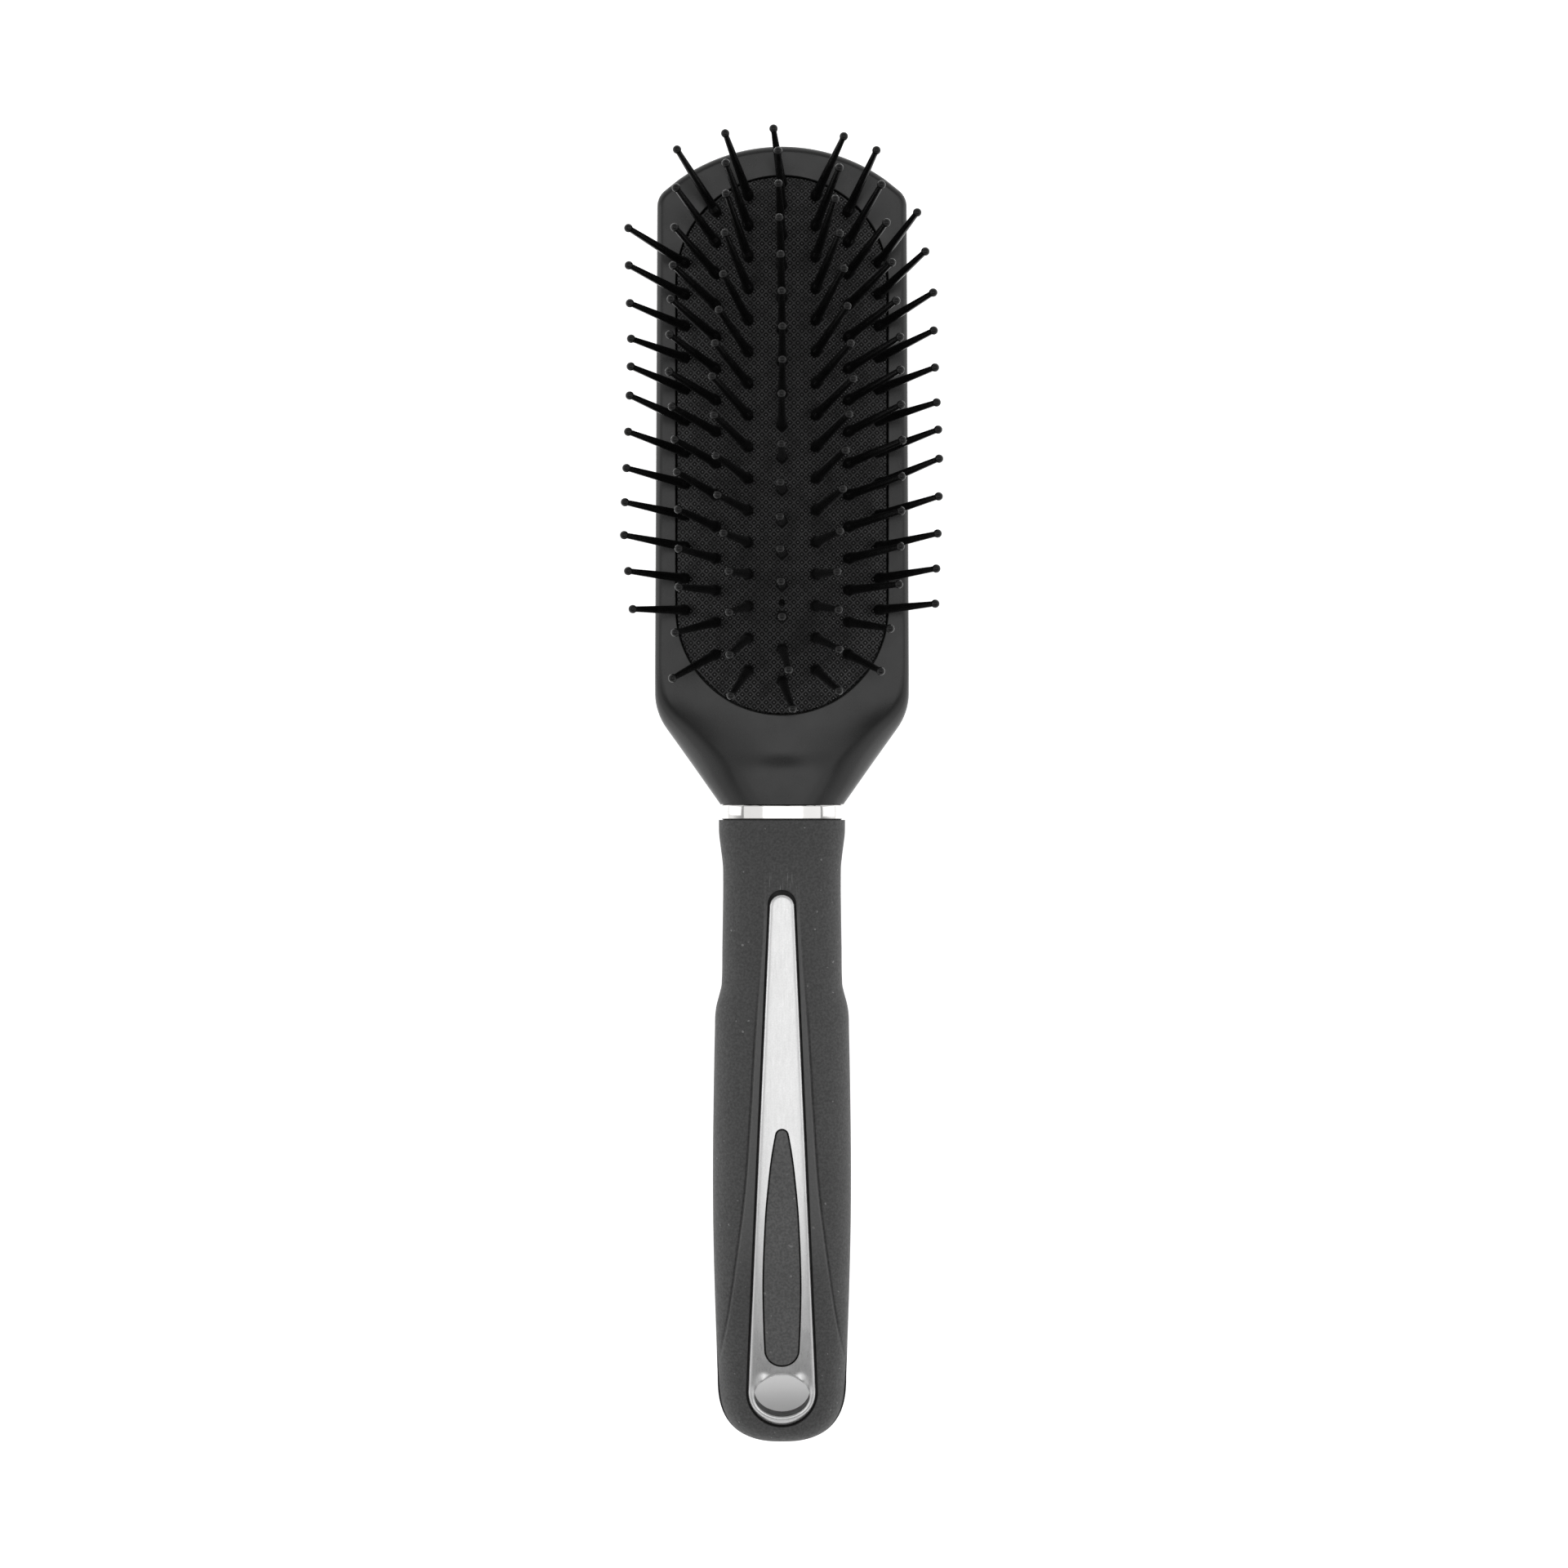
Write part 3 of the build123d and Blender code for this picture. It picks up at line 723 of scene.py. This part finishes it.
# stretches of the handle, as distances below the origin, over which its details come and go
DECK_START, DECK_END = (8.0, 17.0), (103.0, 112.0)
CREASE_START, CREASE_END = (24.0, 50.0), (101.0, 109.0)
# stretch along the handle that bounds the painted sheen on the bead beside the inlay
SHEEN_START, SHEEN_END = (17.0, 24.0), (74.0, 94.0)
TAIL_STRETCH = (98.0, 112.0)
# lowest height that carries the painted sheen
SHEEN_LOWEST_Z = 8.0
# height of the handle's widest line, as a share of its thickness
WAIST_SHARE = 0.46
GRIP_BACK_INSET = 3.0
GRIP_FRONT_INSET = 2.0
CHANNEL_LIP = 0.28
CHANNEL_FLOOR_DEPTH = 2.1
INLAY_DISCS = ((-110.35, 6.25), (-20.6, 2.3))
# the channel that the inlay lies in, wider past the inlay's top end
CHANNEL_DISCS = ((-110.35, 6.65), (-20.05, 2.62))
TAIL_HALF_LENGTH = 12.2
TAIL_POWER = 2.6
# half width of the insert between its round tip and its round foot
INSERT_WIDTH = (
    (-62.4, 1.0), (-64.8, 1.45), (-67.1, 1.81), (-71.6, 2.33), (-76.1, 2.76), (-80.6, 3.03),
    (-86.0, 3.26), (-91.0, 3.34), (-96.0, 3.26), (-100.0, 3.12), (-102.4, 3.0),
)
INSERT_FOOT_LENGTH = 2.9
WINDOW_GAP = 0.28
HOLE_Y = -111.2
HOLE_HALF = (5.15, 4.0)
# foot and top of the blocks that cut the hole and the inlay's window
HOLE_CUT_Z = (-5.0, 25.0)
WINDOW_CUT_Z = (8.0, 25.0)


def tail_points():
    """Right half of the tail's rounded end, from the middle of the tail up to its widest place."""
    wide_y = TAIL_Y + TAIL_HALF_LENGTH
    turn = np.radians(np.linspace(0, 90, 120))
    across = float(through(GRIP_WIDTH, wide_y)) * np.sin(turn) ** (2 / TAIL_POWER)
    below = TAIL_HALF_LENGTH * np.cos(turn) ** (2 / TAIL_POWER)
    return np.column_stack([across, wide_y - below])


def grip_outline(count):
    """The grip's closed outline, counter-clockwise from the middle of the tail."""
    tail = tail_points()
    ys = np.linspace(tail[-1, 1] + 0.3, GRIP_TOP_Y, 400)
    sides = np.column_stack([through(GRIP_WIDTH, ys), ys])
    top = np.column_stack([np.linspace(sides[-1, 0], 0, 30)[1:], np.full(29, GRIP_TOP_Y)])
    top[-1, 0] = 0.0
    return resample(mirrored(np.vstack([tail, sides, top])), count)


def grip_side_line(outline):
    sides = outline[outline[:, 1] < GRIP_TOP_Y - 0.02]
    right = sides[sides[:, 0] >= 0]
    left = sides[sides[:, 0] < 0]
    top = through(GRIP_WIDTH, GRIP_TOP_Y)
    past = [[float(top), GRIP_TOP_Y + 20.0]]
    return np.vstack([right, past, [[-past[0][0], past[0][1]]], left])


def side_profile(edge, reach, power):
    """0 at the side, rising to 1 at a reach inwards, round at the side."""
    q = np.clip(edge / reach, 0, 1)
    return (1 - (1 - q) ** power) ** (1 / power)


def grip_form(points, edge):
    """Height of the handle's crowned front without its deck, at a distance from the side."""
    y = points[:, 1]
    front, back = through(FRONT_HEIGHT, y), through(BACK_HEIGHT, y)
    middle = back + WAIST_SHARE * (front - back)
    at_tail = smoothstep(-y, *TAIL_STRETCH)
    wide = side_profile(edge, through(GRIP_WIDTH, y), 2.7)
    tight = side_profile(edge, 4.2, 2.2) - 0.003 * points[:, 0] ** 2
    return middle + (front - middle) * (wide + (tight - wide) * at_tail)


def deck_share(points):
    """1 on the raised deck beside the inlay, 0 on the grip's body."""
    x, y = np.abs(points[:, 0]), points[:, 1]
    deck_width = through(DECK_WIDTH, y)
    inside = 1 - smoothstep(x, deck_width - DECK_EDGE, deck_width + DECK_EDGE)
    return smoothstep(-y, *DECK_START) * inside


def grip_front(points, side_line):
    """Height of the grip's front: a rounded body and, beside the inlay, a raised deck."""
    y = points[:, 1]
    edge = distance_to(side_line, points)
    sunk = DECK_RAISE * smoothstep(-y, *DECK_START) * (1 - smoothstep(-y, *DECK_END))
    past_deck = np.abs(points[:, 0]) - through(DECK_WIDTH, y) - CREASE_OFFSET
    crease = CREASE_DEPTH * np.exp(-((past_deck / CREASE_HALF_WIDTH) ** 2))
    crease = crease * smoothstep(-y, *CREASE_START) * (1 - smoothstep(-y, *CREASE_END))
    return grip_form(points, edge) - sunk * (1 - deck_share(points)) - crease


def grip_back(points, side_line):
    y = points[:, 1]
    edge = distance_to(side_line, points)
    front, back = through(FRONT_HEIGHT, y), through(BACK_HEIGHT, y)
    middle = back + WAIST_SHARE * (front - back)
    return middle - (middle - back) * side_profile(edge, 8.0, 2.3)


def disc_hull(discs, count, grow=0.0):
    """The line drawn tight round discs on the middle line, listed from the lowest up."""
    turns = [-90.0]
    for (low_y, low_radius), (high_y, high_radius) in zip(discs, discs[1:]):
        turns.append(math.degrees(math.asin((low_radius - high_radius) / (high_y - low_y))))
    turns.append(90.0)
    right = np.vstack([
        arc((0, y), radius + grow, start, end, 80)
        for (y, radius), start, end in zip(discs, turns, turns[1:])
    ])
    right[0, 0] = right[-1, 0] = 0.0
    return resample(mirrored(right), count)


def onto_middle(points, low_y, high_y):
    """Points moved straight across onto a stretch of the middle line."""
    return np.column_stack([np.zeros(len(points)), np.clip(points[:, 1], low_y, high_y)])


def match_loop(outline, inner, low_y, high_y):
    """Spaces an inner loop's points so that each faces its partner on the outline."""
    key_outer = loop_key(outline, high_y, low_y)
    key_inner = loop_key(inner, high_y, low_y)
    order = np.argsort(key_inner)
    keys = np.concatenate([key_inner[order] - 4, key_inner[order], key_inner[order] + 4])
    points = np.vstack([inner[order]] * 3)
    return np.column_stack([np.interp(key_outer, keys, points[:, k]) for k in range(2)])


def loop_key(loop, top_y, end_y):
    """A number that runs 0 to 4 round a loop: right side, top end, left side, bottom end."""
    x, y = loop[:, 0], loop[:, 1]
    level = (y - end_y) / (top_y - end_y)
    above = np.arctan2(y - top_y, x) / np.pi
    below = np.arctan2(x, -(y - end_y)) / np.pi
    right, left = level, 3 - level
    key = np.where(x >= 0, right, left)
    key = np.where(y > top_y, 1 + above, key)
    key = np.where(y < end_y, 3.5 + below, key)
    return np.where(key > 4, key - 4, key) % 4


def grip_shell(material):
    outline = grip_outline(900)
    half_top = float(through(GRIP_WIDTH, GRIP_TOP_Y))
    for side in (-1, 1):
        corner = np.array([side * half_top, GRIP_TOP_Y])
        outline[np.linalg.norm(outline - corner, axis=1).argmin()] = corner
    side_line = grip_side_line(outline)
    low_y, high_y = INLAY_DISCS[0][0], INLAY_DISCS[1][0]
    channel = match_loop(outline, disc_hull(CHANNEL_DISCS, 1800), low_y, high_y)
    back_inset = inset(outline, GRIP_BACK_INSET, GRIP_TOP_Y)
    spine = onto_middle(outline, low_y, high_y)
    rings = []
    for share in np.linspace(0, 1, 16)[:-1]:
        flat = spine + (back_inset - spine) * share
        rings.append(lifted(flat, grip_back(flat, side_line)))
    for distance in GRIP_BACK_INSET * (1 - np.sin(np.radians(np.linspace(0, 90, 14)))):
        flat = inset(outline, distance, GRIP_TOP_Y)
        rings.append(lifted(flat, grip_back(flat, side_line)))
    front_inset = inset(outline, GRIP_FRONT_INSET, GRIP_TOP_Y)
    for distance in GRIP_FRONT_INSET * (1 - np.cos(np.radians(np.linspace(0, 90, 16))))[1:]:
        flat = inset(outline, distance, GRIP_TOP_Y)
        rings.append(lifted(flat, grip_front(flat, side_line)))
    lip = CHANNEL_LIP
    gap = front_inset - channel
    outward = channel + gap / np.linalg.norm(gap, axis=1)[:, None] * lip
    for share in np.linspace(0, 1, 56)[1:]:
        flat = front_inset + (outward - front_inset) * share
        rings.append(lifted(flat, grip_front(flat, side_line)))
    lip_height = grip_front(outward, side_line)
    for turn in np.linspace(0, 90, 6)[1:]:
        angle = math.radians(turn)
        flat = channel + (outward - channel) * (1 - math.sin(angle))
        rings.append(lifted(flat, lip_height - lip * (1 - math.cos(angle))))
    floor_line = onto_middle(channel, low_y, high_y)
    for share in np.linspace(0, 1, 6):
        flat = channel + (floor_line - channel) * share
        rings.append(lifted(flat, through(FRONT_HEIGHT, flat[:, 1]) - CHANNEL_FLOOR_DEPTH))
    vertices, faces = skin_rings(rings)
    piece = make_object("grip_shell", vertices, faces, material)
    cut(piece, hole_cutter(0.05, material))
    tidy_mesh(piece, 35)
    mark_painted_sheen(piece)
    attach(piece, "paddle")
    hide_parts("grip_sleeve")
    return piece


def mark_painted_sheen(piece):
    """Stores how much each vertex of the grip is smoother and carries the painted sheen: the narrow
    bead beside the inlay.
    """
    mesh = piece.data
    place = np.empty(len(mesh.vertices) * 3)
    mesh.vertices.foreach_get("co", place)
    place = place.reshape(-1, 3) / MM
    share = deck_share(place[:, :2]) * smoothstep(-place[:, 1], *SHEEN_START)
    share *= (1 - smoothstep(-place[:, 1], *SHEEN_END)) * (place[:, 2] > SHEEN_LOWEST_Z)
    layer = mesh.attributes.new("painted_sheen", "FLOAT", "POINT")
    layer.data.foreach_set("value", share)


def hole_cutter(grow, material):
    angles = np.linspace(0, 2 * math.pi, 160, endpoint=False)
    flat = np.column_stack([
        (HOLE_HALF[0] + grow) * np.cos(angles),
        HOLE_Y + (HOLE_HALF[1] + grow) * np.sin(angles),
    ])
    vertices, faces = skin_rings([lifted(flat, z) for z in HOLE_CUT_Z], True, True)
    return make_object("hole_cutter", vertices, faces, material)


# ---- inlay and insert ----------------------------------------------------------------------------
# how far the inlay's face lies under the handle's crowned form
INLAY_SINK = 0.1
# depth and reach of the hole's rolled rim and of the channel that leads into the hole. Reaches are
# shares of the hole's own half sizes
ROLLED_DEPTH, ROLLED_REACH = 0.12, 0.03
CHANNEL_DEPTH, CHANNEL_REACH = 0.3, 0.45
# the swell on each side of the channel: height, place and half sizes, across and along
SWELL_HEIGHT, SWELL_PLACE, SWELL_HALF = 0.5, (3.5, -108.5), (1.25, 1.35)
FOOT_DROP = 1.5
# stretches along the brush where the channel fades in and the inlay's foot falls away
CHANNEL_STRETCH, FOOT_STRETCH = (-111.5, -108.0), (-115.5, -112.5)
# reach and drop of a plate's rounded edge, and its thickness
INLAY_PLATE = (0.75, 0.36, 1.5)
INSERT_PLATE = (0.45, 0.26, 1.3)


def inlay_front(points):
    """Height of the inlay's face: level with the deck, and round the hang hole a rolled rim, a
    channel from the insert down into the hole and a small swell on each side of it."""
    x, y = points[:, 0], points[:, 1]
    edge = through(GRIP_WIDTH, y) - np.abs(x)
    face = grip_form(points, edge) - INLAY_SINK
    outside = np.maximum(np.hypot(x / HOLE_HALF[0], (y - HOLE_Y) / HOLE_HALF[1]) - 1, 0)
    above = smoothstep(y, *CHANNEL_STRETCH)
    below = 1 - smoothstep(y, *FOOT_STRETCH)
    rolled = ROLLED_DEPTH * np.exp(-((outside / ROLLED_REACH) ** 2))
    channel = CHANNEL_DEPTH * np.exp(-((outside / CHANNEL_REACH) ** 2)) * above
    swell_x = (np.abs(x) - SWELL_PLACE[0]) / SWELL_HALF[0]
    swell_y = (y - SWELL_PLACE[1]) / SWELL_HALF[1]
    swell = SWELL_HEIGHT * np.exp(-(swell_x**2) - swell_y**2)
    foot = FOOT_DROP * below * outside
    return face - rolled - channel + swell - foot


def plate_rings(outline, low_y, high_y, front, edge_reach, edge_drop, thick):
    """A closed plate: its foot, side, softly rounded front edge and face, to the middle line."""
    spine = onto_middle(outline, low_y, high_y)
    rings = [lifted(spine, front(spine) - thick), lifted(outline, front(outline) - thick)]
    for turn in np.linspace(0, 90, 9):
        sunk = 1 - math.sin(math.radians(turn))
        flat = inset(outline, edge_reach * (1 - math.cos(math.radians(turn))))
        rings.append(lifted(flat, front(flat) - edge_drop * sunk))
    inner = inset(outline, edge_reach)
    centre = onto_middle(inner, low_y, high_y)
    for share in np.linspace(0, 1, 38)[1:]:
        flat = inner + (centre - inner) * share
        rings.append(lifted(flat, front(flat)))
    return rings


def insert_outline(count):
    """The insert's closed outline: a round foot, bowed sides and a small round tip."""
    (tip_y, tip_width), (foot_y, foot_width) = INSERT_WIDTH[0], INSERT_WIDTH[-1]
    turn = np.radians(np.linspace(-90, 0, 60))
    foot = np.column_stack([foot_width * np.cos(turn), foot_y + INSERT_FOOT_LENGTH * np.sin(turn)])
    ys = np.linspace(foot_y, tip_y, 300)
    sides = np.column_stack([through(INSERT_WIDTH, ys), ys])
    slope = (INSERT_WIDTH[1][1] - tip_width) / (tip_y - INSERT_WIDTH[1][0])
    lean = math.atan(slope)
    radius = tip_width / math.cos(lean)
    tip = arc((0, tip_y - radius * math.sin(lean)), radius, math.degrees(lean), 90, 40)
    right = np.vstack([foot, sides[1:], tip[1:]])
    right[0, 0] = right[-1, 0] = 0.0
    return resample(mirrored(right), count)


def silver_strip(material):
    outline = disc_hull(INLAY_DISCS, 900)
    low_y, high_y = INLAY_DISCS[0][0], INLAY_DISCS[1][0]
    rings = plate_rings(outline, low_y, high_y, inlay_front, *INLAY_PLATE)
    vertices, faces = skin_rings(rings)
    piece = make_object("silver_strip", vertices, faces, material)
    window = inset(insert_outline(500), -WINDOW_GAP)
    vertices, faces = skin_rings([lifted(window, z) for z in WINDOW_CUT_Z], True, True)
    cut(piece, make_object("window_cutter", vertices, faces, material))
    cut(piece, hole_cutter(0.0, material))
    tidy_mesh(piece, 35)
    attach(piece, "paddle")
    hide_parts("silver_inlay")
    return piece


def dark_wedge(material):
    outline = insert_outline(600)
    low_y, high_y = INSERT_WIDTH[-1][0], INSERT_WIDTH[0][0]
    rings = plate_rings(outline, low_y, high_y, inlay_front, *INSERT_PLATE)
    vertices, faces = skin_rings(rings)
    piece = make_object("dark_wedge", vertices, faces, material)
    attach(piece, "paddle")
    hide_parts("inlay_insert")
    return piece


# ---- neck ring -----------------------------------------------------------------------------------
RING_TOP_Y = -1.65
RING_LENGTH = 2.9
RING_HALF = (11.2, 5.95)
RING_MIDDLE_Z = 6.25
RING_POWER = 2.75
RING_EDGE_ROUND = 0.34
RING_SWELL = 0.07


def ring_section(count):
    """The ring's outline across the brush, crowned like the handle."""
    turn = np.radians(np.linspace(-90, 90, 721))
    across = RING_HALF[0] * np.abs(np.cos(turn)) ** (2 / RING_POWER)
    up = RING_HALF[1] * np.sign(np.sin(turn)) * np.abs(np.sin(turn)) ** (2 / RING_POWER)
    across[0] = across[-1] = 0.0
    return resample(mirrored(np.column_stack([across, up])), count)


def chrome_ring(material):
    section = ring_section(360)
    rings = []
    for share in np.linspace(0, 1, 25):
        edge = min(share, 1 - share) * RING_LENGTH
        inside = min(edge / RING_EDGE_ROUND, 1)
        rounding = RING_EDGE_ROUND * (1 - math.sqrt(1 - (1 - inside) ** 2))
        barrel = RING_SWELL * (1 - (2 * share - 1) ** 2)
        flat = inset(section, rounding - barrel)
        place = np.full(len(flat), RING_TOP_Y - share * RING_LENGTH)
        rings.append(np.column_stack([flat[:, 0], place, flat[:, 1] + RING_MIDDLE_Z]))
    vertices, faces = skin_rings(rings, True, True)
    piece = make_object("chrome_ring", vertices, faces, material, flat_angle=50)
    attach(piece, "paddle")
    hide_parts("neck_ring")
    return piece


# ---- CAD nodes that stay -------------------------------------------------------------------------
def repaint(name, material):
    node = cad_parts[name]
    node.data.materials.clear()
    node.data.materials.append(material)


# ---- studio --------------------------------------------------------------------------------------
def softbox(name, place, size, radiance, aim=(0, 0, 0)):
    light = bpy.data.lights.new(name, "AREA")
    light.shape = "RECTANGLE"
    light.size, light.size_y = size
    light.energy = radiance * math.pi * size[0] * size[1]
    made = bpy.data.objects.new(name, light)
    bpy.context.scene.collection.objects.link(made)
    made.location = place
    made.rotation_euler = (Vector(aim) - Vector(place)).to_track_quat("-Z", "Y").to_euler()


def lit_paper():
    """White paper that glows like a light table, but faintly under the hang hole, and least towards
    the hole's near side: a painted shade that stands for the shadow seen through the hole."""
    paint = Paint("lit_paper", specular=0.1)
    paint.colour(paint.ramp(paint.noise(12, 3), ((0.3, 0.84), (0.7, 0.87))))
    paint.shader.inputs["Roughness"].default_value = 0.9
    # painted shade: under the hang hole the paper glows less, least towards the hole's near side
    along = paint.across((0.0, 1.0, 0.0), (0.0, HOLE_Y * MM, 0.0))
    painted_hole_shade = paint.map_range(along, (-0.0044, 0.0038), (0.0, 0.36))
    apart = paint.distance((0.0, HOLE_Y * MM, 0.0))
    glow = paint.map_range(apart, (0.006, 0.0085), (painted_hole_shade, 0.78))
    paint.tree.links.new(glow, paint.shader.inputs["Emission Strength"])
    paint.shader.inputs["Emission Color"].default_value = (1, 1, 1, 1)
    return paint.material


def bright_walls():
    """A world like a white studio: bright at floor level, dimmer overhead and beyond the handle."""
    world = bpy.data.worlds.new("studio")
    bpy.context.scene.world = world
    world.use_nodes = True
    nodes, links = world.node_tree.nodes, world.node_tree.links
    toward = nodes.new("ShaderNodeTexCoord").outputs["Generated"]
    split = nodes.new("ShaderNodeSeparateXYZ")
    links.new(toward, split.inputs[0])
    ceiling, walls = (nodes.new("ShaderNodeMapRange") for _ in range(2))
    for fade, stops in ((ceiling, (-0.55, -0.1, 0.05, 0.3)), (walls, (0.3, 0.92, 0.95, 0.3))):
        fade.interpolation_type = "SMOOTHSTEP"
        for socket, value in zip(("From Min", "From Max", "To Min", "To Max"), stops):
            fade.inputs[socket].default_value = value
    links.new(split.outputs["Y"], ceiling.inputs["Value"])
    links.new(split.outputs["Z"], walls.inputs["Value"])
    links.new(ceiling.outputs["Result"], walls.inputs["To Max"])
    links.new(walls.outputs["Result"], nodes["Background"].inputs["Strength"])
    nodes["Background"].inputs["Color"].default_value = (1, 1, 1, 1)


def studio():
    mesh = bpy.data.meshes.new("floor")
    mesh.from_pydata([(-6, -6, 0), (6, -6, 0), (6, 6, 0), (-6, 6, 0)], [], [(0, 1, 2, 3)])
    mesh.materials.append(lit_paper())
    floor = bpy.data.objects.new("floor", mesh)
    floor.location.z = -0.0002
    bpy.context.scene.collection.objects.link(floor)
    softbox("overhead", (0.02, 0.01, 1.4), (0.46, 1.14), 1.25, aim=(0.02, 0.01, 0))
    softbox("left_wing", (-0.56, 0.03, 1.4), (0.7, 1.1), 0.62, aim=(-0.56, 0.03, 0))
    softbox("right_wing", (0.6, 0.03, 1.4), (0.7, 1.1), 0.74, aim=(0.6, 0.03, 0))
    softbox("left_strip", (-1.3, 0.15, 0.75), (0.5, 1.2), 1.0)
    softbox("right_strip", (1.3, 0.1, 0.75), (0.5, 1.2), 0.8)
    bright_walls()
    bpy.context.scene.view_settings.view_transform = "Standard"


def camera():
    lens = bpy.data.cameras.new("camera")
    lens.sensor_width = 36
    lens.lens = 93.8
    made = bpy.data.objects.new("camera", lens)
    bpy.context.scene.collection.objects.link(made)
    made.location = (0.00038, 0.00215, 0.768)
    bpy.context.scene.camera = made


camera()
studio()
paddle_shell(head_plastic())
cushion_skin(cushion_rubber())
# the grip's bead beside the inlay gets a painted sheen of this lighter grey
grip_shell(soft_touch("grip_soft_touch", 0.038, 0.064, painted_sheen=0.085))
silver_strip(inlay_silver())
dark_wedge(soft_touch("insert_plastic", 0.066, 0.108))
chrome_ring(ring_chrome())
repaint("handle_core", core_plastic())
nylon = pin_nylon()
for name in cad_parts:
    if name.startswith("pins_"):
        repaint(name, nylon)
